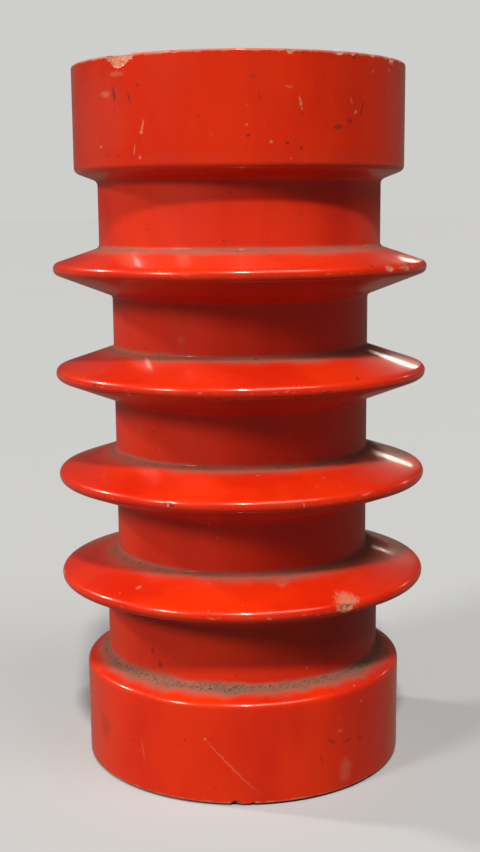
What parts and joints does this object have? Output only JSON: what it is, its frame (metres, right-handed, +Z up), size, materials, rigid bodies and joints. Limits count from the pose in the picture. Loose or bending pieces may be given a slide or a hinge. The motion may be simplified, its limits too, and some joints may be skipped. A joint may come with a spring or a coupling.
{
  "type": "indoor post insulator",
  "caption": "Red cast-resin post insulator with round collars at both ends, evenly spaced sloping sheds and threaded metal inserts in its end faces.",
  "frame": {"origin": "centre of the base, on the plane of the base insert faces that it stands on", "axes": "+Z up along the insulator's axis; +X through the two top side inserts"},
  "size_m": [0.1122, 0.1122, 0.21],
  "materials": {
    "resin_red": "glossy pigmented cast epoxy resin, scratched and dusty",
    "brass_insert": "turned and knurled brass, dull",
    "copper_plate": "punched copper sheet"
  },
  "bodies": {
    "root": {"resin_body": "resin_red", "top_centre_insert": "brass_insert", "top_bonding_bar": "copper_plate", "base_centre_insert": "brass_insert", "base_bonding_cross": "copper_plate", "top_side_insert_1": "brass_insert", "top_side_insert_2": "brass_insert", "base_side_insert_1": "brass_insert", "base_side_insert_2": "brass_insert", "base_side_insert_3": "brass_insert", "base_side_insert_4": "brass_insert"}
  },
  "joints": []
}
